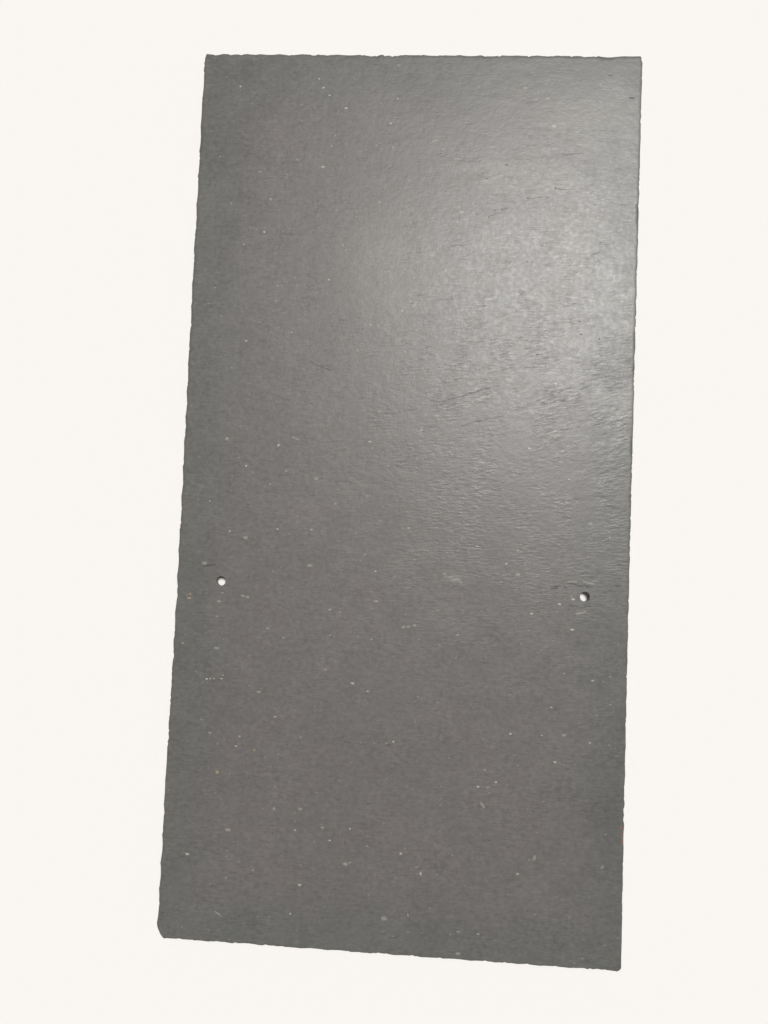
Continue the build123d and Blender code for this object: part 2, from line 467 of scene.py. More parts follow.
def even_places(loop, corners, cells):
    """Places along the loop that divide each of its four runs evenly by length, cells apart."""
    step = np.linalg.norm(np.roll(loop, -1, axis=0) - loop, axis=1)
    walked = np.concatenate([[0.0], np.cumsum(step)])
    index = np.arange(len(loop) + 1)
    places = []
    for number, count in enumerate((cells[0], cells[1], cells[0], cells[1])):
        lengths = np.linspace(walked[corners[number]], walked[corners[number + 1]], count + 1)[:-1]
        places.append(np.interp(lengths, walked, index))
    return np.concatenate(places)


def at_places(loop, places):
    """Points of a closed loop at fractional places."""
    closed = np.vstack([loop, loop[:1]])
    index = np.arange(len(closed))
    return np.stack([np.interp(places, index, closed[:, axis]) for axis in range(2)], axis=1)


def coons_grid(loop, cells):
    """Grid inside a closed loop: the two ruled surfaces between opposite runs, less their corners."""
    nu, nv = cells
    closed = np.vstack([loop, loop[:1]])
    bottom, right = closed[:nu + 1], closed[nu:nu + nv + 1]
    top, left = closed[nu + nv:2 * nu + nv + 1][::-1], closed[2 * nu + nv:][::-1]
    u = np.linspace(0, 1, nu + 1)[None, :, None]
    v = np.linspace(0, 1, nv + 1)[:, None, None]
    across = (1 - u) * left[:, None] + u * right[:, None]
    along = (1 - v) * bottom[None] + v * top[None]
    corners = ((1 - v) * ((1 - u) * bottom[0] + u * bottom[-1])
               + v * ((1 - u) * top[0] + u * top[-1]))
    return across + along - corners


def grain_place(x, y, relief):
    """Place along and across the grain, whose lines rise to the right in the right half.

    The rise is a soft ramp, 40 log(1 + exp((x + 10) / 40)) in millimetres, and is strongest 58 mm
    above the middle of the slate.
    """
    ramp = 40 * MM * np.logaddexp(0.0, (x / MM + 10.0) / 40.0)
    weight = np.exp(-((y / MM - 58.0) / 55.0) ** 2)
    return x, y - relief.grain_rise * ramp * weight


def riven_depth(x, y, relief, seed):
    """Depth of a riven face under its highest point, never negative.

    Long swells, ripples drawn out along the grain, and lamina steps: noise in thirds, each with a
    steep riser.
    """
    along, across = grain_place(x, y, relief)
    swell = layered_noise(x, y, SWELLS, seed)
    ripple = layered_noise(along, across, RIPPLES, seed)
    terrace = 1.5 * (1 + layered_noise(along, across, TERRACES, seed))
    floor = np.floor(terrace)
    laminae = floor + blend(0.40, 0.60, terrace - floor) - 1.5
    depth = relief.level + relief.swell * swell + relief.ripple * ripple + relief.step * laminae
    return np.maximum(depth, 0.02 * MM)


def spall_height(x, y, sizes):
    """Height of the spall craters above the underside: the highest of each hole's three ball caps."""
    height = np.zeros_like(x)
    for mount in NAIL_HOLES:
        centre = np.array(mount["pos_m"][:2])
        turn = sizes.side_spall_turn * (1 if centre[0] < 0 else -1)
        reach = sizes.side_spall_offset * np.array([math.cos(turn), math.sin(turn)])
        caps = ((centre, sizes.spall_width, sizes.spall_depth),
                (centre + reach, sizes.side_spall_width, sizes.side_spall_depth),
                (centre - reach, sizes.side_spall_width, sizes.side_spall_depth))
        for place, width, depth in caps:
            radius = ((width / 2) ** 2 + depth**2) / (2 * depth)
            away = (x - place[0]) ** 2 + (y - place[1]) ** 2
            cap = depth - radius + np.sqrt(np.maximum(radius**2 - away, 0.0))
            height = np.maximum(height, cap)
    return height


def upper_height(x, y, relief):
    """Height of the riven bed face above the floor."""
    return HIGH[2] - riven_depth(x, y, relief, relief.seed)


def lower_height(x, y, relief, sizes):
    """Height of the weather face above the floor, with rough spall craters round the nail holes.

    A crater is never lower than half the riven face that it breaks out of.
    """
    face = riven_depth(x, y, relief, relief.seed + 20)
    crater = spall_height(x, y, sizes)
    noise = lattice_noise(x, y, 2.2 * MM, 1.5 * MM, relief.seed + 30)
    rough = 0.35 * relief.break_roughness * (1 + noise)
    return np.where(crater > 0, np.maximum(crater - rough, face * 0.5), face)


class Skin:
    """A growing closed mesh: blocks of points, and faces between loops and grids of them."""

    def __init__(self):
        self.blocks = []
        self.total = 0
        self.quads = []
        self.triangles = []
        self.quad_kinds = []
        self.triangle_kinds = []

    def points(self, xyz):
        """Add points and return their numbers, in the shape of their grid."""
        flat = np.asarray(xyz).reshape(-1, 3)
        numbers = np.arange(self.total, self.total + len(flat)).reshape(np.asarray(xyz).shape[:-1])
        self.blocks.append(flat)
        self.total += len(flat)
        return numbers

    def add(self, quads, kind, triangles=None):
        """Add faces of one kind: 0 for riven stone and 1 for broken stone."""
        self.quads.append(quads)
        self.quad_kinds.append(np.full(len(quads), kind))
        if triangles is not None:
            self.triangles.append(triangles)
            self.triangle_kinds.append(np.full(len(triangles), kind))

    def band(self, first, second, kind):
        """Join two closed loops with as many points, the second on the left of the first's way."""
        after, after_second = np.roll(first, -1), np.roll(second, -1)
        self.add(np.stack([first, after, after_second, second], axis=1), kind)

    def doubling(self, coarse, fine, downward, kind):
        """Join a closed loop to one outside it with twice as many points, facing down or up."""
        after = np.roll(coarse, -1)
        even, odd, after_even = fine[0::2], fine[1::2], np.roll(fine[0::2], -1)
        quad, triangle = [coarse, after, after_even, odd], [coarse, odd, even]
        if not downward:
            quad, triangle = quad[::-1], triangle[::-1]
        self.add(np.stack(quad, axis=1), kind, np.stack(triangle, axis=1))

    def grid(self, numbers, kept, upward, kind):
        """Fill a grid of points with quads where kept says, facing up or down."""
        a, b = numbers[:-1, :-1], numbers[:-1, 1:]
        c, d = numbers[1:, 1:], numbers[1:, :-1]
        corners = [a, b, c, d] if upward else [a, d, c, b]
        self.add(np.stack(corners, axis=-1)[kept], kind)

    def mesh(self, name):
        """Return the mesh, without points that no face uses, and the kind of each of its faces."""
        points = np.vstack(self.blocks)
        quads, triangles = np.vstack(self.quads), np.vstack(self.triangles)
        used = np.zeros(len(points), bool)
        used[quads.ravel()] = True
        used[triangles.ravel()] = True
        renumber = np.cumsum(used) - 1
        corners = np.concatenate([renumber[quads].ravel(), renumber[triangles].ravel()])
        starts = np.concatenate([np.arange(len(quads)) * 4,
                                 len(quads) * 4 + np.arange(len(triangles)) * 3])
        mesh = bpy.data.meshes.new(name)
        mesh.vertices.add(int(used.sum()))
        mesh.vertices.foreach_set("co", points[used].astype(np.float32).ravel())
        mesh.loops.add(len(corners))
        mesh.loops.foreach_set("vertex_index", corners.astype(np.int32))
        mesh.polygons.add(len(starts))
        mesh.polygons.foreach_set("loop_start", starts.astype(np.int32))
        mesh.update(calc_edges=True)
        kinds = np.concatenate(self.quad_kinds + self.triangle_kinds)
        return mesh, kinds


def block_round_hole(grid, centre):
    """Return the first and last column and row of the block of cells round a nail hole."""
    away = np.linalg.norm(grid - centre, axis=-1)
    row, column = np.unravel_index(np.argmin(away), away.shape)
    half = HOLE_HALF_CELLS
    return column - half, column + half, row - half, row + half


def block_edge(numbers, block):
    """Numbers of the block's edge points, anticlockwise from its lower left corner."""
    left, right, lower, upper = block
    return np.concatenate([
        numbers[lower, left:right],
        numbers[lower:upper, right],
        numbers[upper, right:left:-1],
        numbers[upper:lower:-1, left],
    ])


def hole_rings(edge_places, centre, radius, count):
    """Loops from a nail hole's circle out to the edge of its block, crowded towards the circle.

    They are straight blends of the two, by shares that are powers of even steps.
    """
    sides = len(edge_places)
    angle = 2 * math.pi * np.arange(sides) / sides - 0.75 * math.pi
    circle = centre + radius * np.stack([np.cos(angle), np.sin(angle)], axis=1)
    shares = (np.arange(count + 1) / count) ** RING_CROWDING
    return [circle * (1 - share) + edge_places * share for share in shares]


def face_with_holes(skin, loop, cells, height, upward, rings):
    """Fill a face of the slate inside its outer loop, leaving a circle open at each nail hole.

    Return the numbers of the outer loop and of each circle, all anticlockwise seen from above.
    """
    plan = coons_grid(loop, cells)
    numbers = skin.points(np.dstack([plan, height(plan[..., 0], plan[..., 1])]))
    kept = np.ones((cells[1], cells[0]), bool)
    circles = []
    for mount in NAIL_HOLES:
        centre, radius = np.array(mount["pos_m"][:2]), mount["dims"]["r_mm"] * MM
        block = block_round_hole(plan, centre)
        kept[block[2]:block[3], block[0]:block[1]] = False
        edge = block_edge(numbers, block)
        places = plan.reshape(-1, 2)[edge - numbers[0, 0]]
        plans = hole_rings(places, centre, radius, rings)
        loops = [skin.points(np.column_stack([p, height(p[:, 0], p[:, 1])])) for p in plans[:-1]]
        loops.append(edge)
        for inner, outer in zip(loops, loops[1:]):
            first, second = (outer, inner) if upward else (inner, outer)
            skin.band(first, second, 0)
        circles.append(loops[0])
    skin.grid(numbers, kept, upward, 0)
    whole = (0, cells[0], 0, cells[1])
    return block_edge(numbers, whole), circles


def side_rows(sizes):
    """Levels of the dressed edge from its foot up: height, inset and extra scar depth."""
    foot = (0.0, sizes.land_recess + sizes.bevel_width, sizes.foot_scar)
    hollow = (sizes.hollow_height, sizes.land_recess + sizes.hollow_width, sizes.hollow_scar)
    land = (THICKNESS - sizes.land_height, sizes.land_recess, sizes.land_scar)
    arris = (THICKNESS, 0.0, 0.0)
    rows = []
    for low, high, steps in ((foot, hollow, 3), (hollow, land, 4), (land, arris, 2)):
        for step in range(steps):
            share = step / steps
            rows.append(tuple(a * (1 - share) + b * share for a, b in zip(low, high)))
    return rows


def slate_skin(sizes, relief):
    """Return the closed skin of the slate, built from the underside up to the bed face."""
    sides = dressed_sides(sizes)
    arris, corners = outline_loop(sides, sizes, 0.0, 0.0)
    fine_cells = (TOP_CELLS[0] * 2, TOP_CELLS[1] * 2)
    places = even_places(arris, corners, fine_cells)
    deep = outline_loop(sides, sizes, sizes.land_recess + sizes.bevel_width, 0.0)[0]
    line = at_places(arris, places)
    inward = at_places(deep, places) - line
    inward /= np.linalg.norm(inward, axis=1)[:, None]
    walk = np.cumsum(np.linalg.norm(np.diff(line, axis=0, append=line[:1]), axis=1))
    side_share = np.repeat(NIBBLE_SHARES, fine_cells * 2)
    still = 0.0 * walk
    bite = layered_noise(walk, still, NIBBLES, 0)
    nibble = relief.nibble * side_share * np.clip(bite - NIBBLE_START, 0.0, NIBBLE_DEEPEST)
    chip = relief.chip * blend(CHIP_START, CHIP_FULL, lattice_noise(walk, still, 6.5 * MM, 1.0, 53))
    skin = Skin()

    def plan_at(inset, extra_depth):
        """Outline at one level, at the places."""
        return at_places(outline_loop(sides, sizes, inset, extra_depth)[0], places)

    def rough(height):
        """How far the broken stone is set in, along the walk at one height: noise of two sizes."""
        return relief.break_roughness * (1 + layered_noise(walk, height, BREAKS, 0)) / 2

    def lower(x, y):
        """Height of the weather face."""
        return lower_height(x, y, relief, sizes)

    def upper(x, y):
        """Height of the bed face."""
        return upper_height(x, y, relief)

    # Underside, its outer loops and the foot of the bevel
    foot_inset = sizes.land_recess + sizes.bevel_width
    base, *outer = [plan_at(foot_inset + gap, sizes.foot_scar * share)[::step]
                    for gap, share, step in BASE_LOOPS]
    below, lower_circles = face_with_holes(skin, base, BASE_CELLS, lower, False, BASE_RINGS)
    for plan in outer:
        loop = skin.points(np.column_stack([plan, lower(*plan.T)]))
        skin.doubling(below, loop, True, 0)
        below = loop

    # Dressed edge
    for number, (height, inset, extra_depth) in enumerate(side_rows(sizes)):
        plan = plan_at(inset, extra_depth)
        heights = np.full(len(plan), height)
        if number == 0:
            heights = np.maximum(lower(*plan.T), 0.0)
        else:
            plan = plan + inward * rough(heights)[:, None]
            heights = heights + ROW_WAVER * lattice_noise(walk, heights, 4 * MM, 1 * MM, 63)
        loop = skin.points(np.column_stack([plan, heights]))
        skin.band(below, loop, min(number, 1))
        below = loop

    # Arris, a little worn and chipped, and the bed face inside it
    edge_plan = line + inward * nibble[:, None]
    for inset, wear_share, chip_share, kind in ARRIS_LOOPS:
        plan = edge_plan + inward * inset
        drop = wear_share * relief.arris_drop + chip_share * chip
        loop = skin.points(np.column_stack([plan, upper(*plan.T) - drop]))
        skin.band(below, loop, kind)
        below = loop
    bed_plan = plan_at(BED_INSET, 0.0)[::2]
    bed_loop, upper_circles = face_with_holes(skin, bed_plan, TOP_CELLS, upper, True, TOP_RINGS)
    skin.doubling(bed_loop, below, False, 0)

    # Walls of the nail holes
    for number, (low, high) in enumerate(zip(lower_circles, upper_circles)):
        nail_hole_wall(skin, low, high, relief, number)
    return skin


def nail_hole_wall(skin, low, high, relief, number):
    """Rough wall between a nail hole's two circles: straight lines, pushed out by noise."""
    points = np.vstack(skin.blocks)
    start, end = points[low], points[high]
    centre = end.mean(axis=0)
    outward = end - centre
    outward[:, 2] = 0.0
    outward /= np.linalg.norm(outward, axis=1)[:, None]
    turn = np.arange(len(low)) / len(low) * 8.0
    below = low
    for row in range(1, WALL_ROWS):
        share = row / WALL_ROWS
        noise = lattice_noise(turn, 0 * turn + row * 0.8, 1.0, 1.0, 70 + number)
        push = 0.3 * relief.break_roughness * (1 + noise)
        loop = skin.points(start * (1 - share) + end * share + outward * push[:, None])
        skin.add(np.stack([below, loop, np.roll(loop, -1), np.roll(below, -1)], axis=1), 1)
        below = loop
    skin.add(np.stack([below, high, np.roll(high, -1), np.roll(below, -1)], axis=1), 1)


def add_node(tree, kind, inputs=None, **settings):
    """Add a node with its settings and the constant values of its inputs."""
    node = tree.nodes.new(kind)
    for name, value in settings.items():
        setattr(node, name, value)
    for name, value in (inputs or {}).items():
        node.inputs[name].default_value = value
    return node


def feed(tree, value, socket):
    """Link a socket, or set a constant, into an input."""
    if isinstance(value, bpy.types.NodeSocket):
        tree.links.new(value, socket)
    else:
        socket.default_value = value


def maths(tree, operation, first, second=None, third=None, clamp=False):
    """Add a Math node and return its output."""
    node = add_node(tree, "ShaderNodeMath", operation=operation, use_clamp=clamp)
    for value, socket in zip((first, second, third), node.inputs):
        if value is not None:
            feed(tree, value, socket)
    return node.outputs[0]


def vector_maths(tree, operation, first, second=None, output="Vector"):
    """Add a Vector Math node and return one of its outputs."""
    node = add_node(tree, "ShaderNodeVectorMath", operation=operation)
    feed(tree, first, node.inputs[0])
    if second is not None:
        feed(tree, second, node.inputs[1])
    return node.outputs[output]


def mix_colours(tree, amount, first, second):
    """Add a Mix node for colours and return its result."""
    node = add_node(tree, "ShaderNodeMix", data_type="RGBA")
    feed(tree, amount, node.inputs["Factor"])
    feed(tree, first, node.inputs[6])
    feed(tree, second, node.inputs[7])
    return node.outputs[2]


def smooth_between(tree, value, low, high):
    """Smooth step of a value from 0 at low to 1 at high."""
    node = add_node(tree, "ShaderNodeMapRange", interpolation_type="SMOOTHSTEP")
    for name, given in (("Value", value), ("From Min", low), ("From Max", high)):
        feed(tree, given, node.inputs[name])
    return node.outputs[0]


def combined(tree, x, y, z):
    """Return the vector of three values, each a socket or a constant."""
    node = add_node(tree, "ShaderNodeCombineXYZ")
    for value, socket in zip((x, y, z), node.inputs):
        feed(tree, value, socket)
    return node.outputs[0]


def triple(tree, value):
    """Return a vector that has one value three times."""
    return combined(tree, value, value, value)


def noise_node(tree, place, scale=1.0, detail=2.0, roughness=0.5):
    """Add a Noise Texture node at a place and return its outputs."""
    node = add_node(tree, "ShaderNodeTexNoise", {"Scale": scale, "Detail": detail, "Roughness": roughness})
    tree.links.new(place, node.inputs["Vector"])
    return node.outputs


def add_weighted(tree, total, *terms):
    """Add to a total each of several values times its weight."""
    for value, weight in terms:
        total = maths(tree, "MULTIPLY_ADD", value, weight, total)
    return total


def new_group(name, vectors, numbers, results):
    """Start a shader node group that is given vectors and numbers and returns numbers.

    Return it with the sockets of its two end nodes.
    """
    tree = bpy.data.node_groups.new(name, "ShaderNodeTree")
    for labels, side, kind in ((vectors, "INPUT", "NodeSocketVector"),
                               (numbers, "INPUT", "NodeSocketFloat"),
                               (results, "OUTPUT", "NodeSocketFloat")):
        for label in labels:
            tree.interface.new_socket(name=label, in_out=side, socket_type=kind)
    return tree, tree.nodes.new("NodeGroupInput").outputs, tree.nodes.new("NodeGroupOutput").inputs


def in_cells(tree, place, run, spacing):
    """Return a place counted in cells of run by spacing."""
    return vector_maths(tree, "DIVIDE", place, combined(tree, run, spacing, spacing))


def wavering(tree, place, cell, reach):
    """Move a place by soft noise of one cell size, by up to reach each way."""
    drawn = noise_node(tree, vector_maths(tree, "DIVIDE", place, cell), detail=1.0)["Color"]
    centred = vector_maths(tree, "SUBTRACT", drawn, (0.5, 0.5, 0.5))
    moved = vector_maths(tree, "MULTIPLY", centred, reach)
    return vector_maths(tree, "ADD", place, moved)


def crenulation_group():
    """Fine wavy lines drawn out along the grain: noise from -1 to 1, in cells of Run by Spacing."""
    tree, given, result = new_group("crenulation", ["Place"], ["Run", "Spacing", "Waver"], ["Height"])
    wavy = wavering(tree, given["Place"], triple(tree, given["Run"]), triple(tree, given["Waver"]))
    drawn = noise_node(tree, in_cells(tree, wavy, given["Run"], given["Spacing"]), detail=4.0,
                       roughness=0.6)
    tree.links.new(maths(tree, "MULTIPLY_ADD", drawn[0], 2.0, -1.0), result["Height"])
    return tree


def grit_group():
    """Even fine roughness: noise from -1 to 1, in cells of one size."""
    tree, given, result = new_group("grit", ["Place"], ["Size"], ["Height"])
    drawn = noise_node(tree, in_cells(tree, given["Place"], given["Size"], given["Size"]), detail=3.0,
                       roughness=0.7)
    tree.links.new(maths(tree, "MULTIPLY_ADD", drawn[0], 2.0, -1.0), result["Height"])
    return tree


def specks_group():
    """Scattered grains: one in each cell that its random number picks, of a random size.

    They are drawn out along X by 1 / Stretch, and each lies at a slant of its own cell's noise.
    """
    tree, given, result = new_group("mineral specks", ["Place"], ["Cell", "Radius", "Share", "Stretch"],
                                    ["Mask", "Tone"])
    bent = wavering(tree, given["Place"], triple(tree, given["Radius"]), triple(tree, given["Radius"]))
    stretched = vector_maths(tree, "MULTIPLY", bent, combined(tree, given["Stretch"], 1.0, 0.15))
    counted = in_cells(tree, stretched, given["Cell"], given["Cell"])
    cells = add_node(tree, "ShaderNodeTexVoronoi", {"Scale": 1.0})
    tree.links.new(counted, cells.inputs["Vector"])
    tone = add_node(tree, "ShaderNodeSeparateColor")
    tree.links.new(cells.outputs["Color"], tone.inputs[0])
    picked = maths(tree, "LESS_THAN", tone.outputs[0], given["Share"])
    ratio = maths(tree, "DIVIDE", given["Radius"], given["Cell"])
    size = maths(tree, "MULTIPLY", ratio, maths(tree, "MULTIPLY_ADD", tone.outputs[1], 0.9, 0.4))
    inside = smooth_between(tree, cells.outputs["Distance"], size, maths(tree, "MULTIPLY", size, 0.35))
    tree.links.new(maths(tree, "MULTIPLY", inside, picked), result["Mask"])
    tree.links.new(tone.outputs[2], result["Tone"])
    return tree


def hairlines_group():
    """Thin wavy lines along the grain: where noise in cells of Run by Spacing crosses its middle.

    A second, larger noise lets only a share of them show.
    """
    tree, given, result = new_group("hairlines", ["Place"], ["Run", "Spacing", "Width", "Share"], ["Mask"])
    place = in_cells(tree, given["Place"], given["Run"], given["Spacing"])
    away = maths(tree, "ABSOLUTE", maths(tree, "SUBTRACT", noise_node(tree, place)[0], 0.5))
    far = maths(tree, "MULTIPLY", away, maths(tree, "MULTIPLY", given["Spacing"], 2.2))
    inside = smooth_between(tree, far, given["Width"], 0.0)
    gate = noise_node(tree, vector_maths(tree, "ADD", place, (11.3, 5.7, 2.1)), scale=1.7)[0]
    bar = maths(tree, "SUBTRACT", 0.72, maths(tree, "MULTIPLY", given["Share"], 0.4))
    shown = smooth_between(tree, gate, bar, maths(tree, "ADD", bar, 0.22))
    tree.links.new(maths(tree, "MULTIPLY", inside, shown), result["Mask"])
    return tree


def line_group():
    """How far a place is from the straight line from Start to End, in half widths of the line."""
    tree, given, result = new_group("cleavage line", ["Place", "Start", "End"], ["Half width"], ["Away"])
    from_start = vector_maths(tree, "SUBTRACT", given["Place"], given["Start"])
    way = vector_maths(tree, "SUBTRACT", given["End"], given["Start"])
    square = vector_maths(tree, "DOT_PRODUCT", way, way, "Value")
    dot = vector_maths(tree, "DOT_PRODUCT", from_start, way, "Value")
    ratio = maths(tree, "DIVIDE", dot, square)
    # Made here, so that the renderer works through one line at a time; a clamped Math node isn't
    share = add_node(tree, "ShaderNodeClamp")
    tree.links.new(ratio, share.inputs["Value"])
    foot = vector_maths(tree, "MULTIPLY", way, triple(tree, share.outputs[0]))
    away = vector_maths(tree, "DISTANCE", from_start, foot, "Value")
    tree.links.new(maths(tree, "DIVIDE", away, given["Half width"]), result["Away"])
    return tree


def spot_group():
    """How far a place is from Centre, in the lengths that Reach gives along each axis."""
    tree, given, result = new_group("spot", ["Place", "Centre", "Reach"], [], ["Away"])
    apart = vector_maths(tree, "SUBTRACT", given["Place"], given["Centre"])
    scaled = vector_maths(tree, "DIVIDE", apart, given["Reach"])
    tree.links.new(vector_maths(tree, "LENGTH", scaled, None, "Value"), result["Away"])
    return tree


def mottle_group():
    """Soft patches of colour: noise of one size, spread to fill 0 to 1."""
    tree, given, result = new_group("mottle", ["Place"], ["Size"], ["Amount"])
    drawn = noise_node(tree, in_cells(tree, given["Place"], given["Size"], given["Size"]), detail=3.0)
    tree.links.new(smooth_between(tree, drawn[0], 0.30, 0.70), result["Amount"])
    return tree


def use_group(tree, group, **values):
    """Place a node group and give it its inputs, each a socket or a constant."""
    node = add_node(tree, "ShaderNodeGroup")
    node.node_tree = group
    for name, value in values.items():
        feed(tree, value, node.inputs[name.replace("_", " ")])
    return node.outputs


def new_material(name):
    """Start a material; return it, its tree and its Principled BSDF."""
    material = bpy.data.materials.new(name)
    material.use_nodes = True
    return material, material.node_tree, material.node_tree.nodes["Principled BSDF"]


def rgba(colour):
    """Return a colour with full alpha."""
    return (*colour, 1.0)


def raise_surface(tree, shader, height, distance):
    """Give the shader a height, as a bump of the given distance for each unit."""
    bump = add_node(tree, "ShaderNodeBump", {"Strength": 1.0, "Distance": distance})
    tree.links.new(height, bump.inputs["Height"])
    tree.links.new(bump.outputs[0], shader.inputs["Normal"])


# Marks that stand out on the bed face, in millimetres from the middle of the slate. A line is the points
# that it passes and its width; a spot is its place, its length and its width.
CRACKS = [
    (((13, 51), (21, 50.8)), 0.4),
    (((21, 50.8), (29, 53.5), (37, 56.2)), 0.55),
    (((36.5, 56), (41, 58), (47, 59.6), (51, 60.4)), 0.75),
    (((-55, 71), (-51.3, 69.1), (-47.5, 67.5), (-41.3, 66.3)), 0.6),
    (((82, 192.8), (85, 192.3), (89, 193.2), (93.5, 193.2)), 0.45),
    (((-109.5, -45.9), (-107.5, -45.4), (-103, -45.2)), 0.9),
    (((91.8, -46.9), (96.5, -47.6), (98, -48.1), (100.8, -47.6)), 0.8),
    (((101.5, -48.4), (104.5, -48.3)), 1.0),
    (((101, -58.9), (104, -59.1)), 0.8),
    (((92.5, -59.2), (97, -59.3)), 0.8),
]
CLEAVAGE_LINES = [
    (((31, 37.2), (38, 39.8), (45, 41.2), (53, 43.5), (58, 46), (63, 48)), 0.8),
    (((63, 48), (72, 52.5), (80, 56), (90, 60.5)), 0.7),
    (((51, 69), (56, 70.5), (65, 71), (74, 71.5)), 0.7),
    (((85, 105.6), (88, 106.5), (93, 107.8)), 0.7),
    (((94, 59.5), (100, 61.8), (106, 63.5)), 0.8),
    (((75, 51.5), (80, 51.2), (83, 52), (87, 53.6)), 0.8),
    (((85, 37), (90, 37.2), (96, 39)), 0.7),
    (((-13, 43.1), (-7.5, 42.9), (0, 45), (9, 46.4)), 0.8),
    (((-62.5, 72.8), (-55, 71)), 0.7),
    (((-46.3, 110.6), (-39.4, 111.5)), 0.8),
    (((63, 166.6), (69, 167.5), (75.5, 168)), 0.7),
    (((45, 160), (53, 161)), 0.65),
    (((42, 155.6), (46, 158.2)), 0.65),
    (((21, 138.7), (30, 140)), 0.65),
    (((96, 133), (104, 137.5)), 0.7),
    (((-73, 185.3), (-68, 185.9)), 0.8),
    (((105, -221.9), (110, -223.8)), 0.8),
]
PALE_LINES = [
    (((41.2, 53.6), (46, 54.4)), 1.2),
    (((91.8, -46.3), (96, -45.6)), 0.8),
    (((100, -46), (105, -46.6)), 0.8),
    (((-109.8, -44.5), (-108.6, -44.2)), 1.6),
    (((-87.3, -61.3), (-86.2, -61.5)), 1.1),
    (((-84.7, -62.1), (-83.6, -62.2)), 1.1),
    (((-62.9, 27.9), (-59.4, 26.6)), 0.7),
    (((48.6, -167.2), (50.2, -168.6)), 1.1),
    (((-93, -233), (-90, -235.2)), 0.8),
    (((96.6, -63.1), (99, -62.9), (101.4, -62.1)), 0.9),
    (((9.2, 199.2), (11.6, 200.3)), 0.7),
]
DARK_SPOTS = [
    (83.4, -50.3, 2.8, 1.1), (85.4, -49.4, 3, 1.9), (87.3, -48.6, 2.4, 1), (118.6, -47.4, 4, 1.3),
    (-108.1, 227.9, 1.6, 1), (119.5, 225.5, 3.2, 1.1), (-25, 243.8, 2, 0.7), (27, 63, 1.4, 0.5),
    (71.5, 78.5, 1.4, 0.7), (23, 109, 1.3, 0.7), (85.5, 122.5, 1.1, 0.6), (94, 97.5, 1.1, 0.6),
    (95, 90.5, 1.1, 0.6), (1, 105.5, 1.4, 0.6), (40, 69, 1.1, 0.5), (105, 88, 1.3, 0.7),
    (40.5, 178, 1.1, 0.7), (1.5, 187.2, 1.1, 0.5), (51, 186, 1.8, 0.8), (78.5, 173, 1.3, 0.6),
    (64, 130.8, 1.6, 0.5), (104.5, 142.5, 1.1, 0.5), (-53.1, 101.3, 1.4, 0.7), (-18.1, 40, 0.9, 1.1),
    (30, -51.6, 1.6, 0.7), (75, -221.9, 1.3, 0.7), (53.8, -186.3, 1.6, 0.8), (-11.9, -170.6, 2.5, 0.7),
    (-58.8, -200, 1.4, 0.7), (-23.8, -192, 1.4, 0.7),
]
# Dark soft patches: the small ones are real marks; the large ones are painted shade that dims the highlight
# near the tail and darkens the stone along the sides
STAINS_AND_SHADE = [
    (100.4, -81.3, 11, 9), (91.5, -209.7, 12, 9), (-71.4, -234.8, 11, 9), (93.1, -211.3, 3, 3),
    (9, 222, 44, 38), (-105, 195, 50, 130), (118, -150, 34, 120), (46, -75, 30, 14),
]
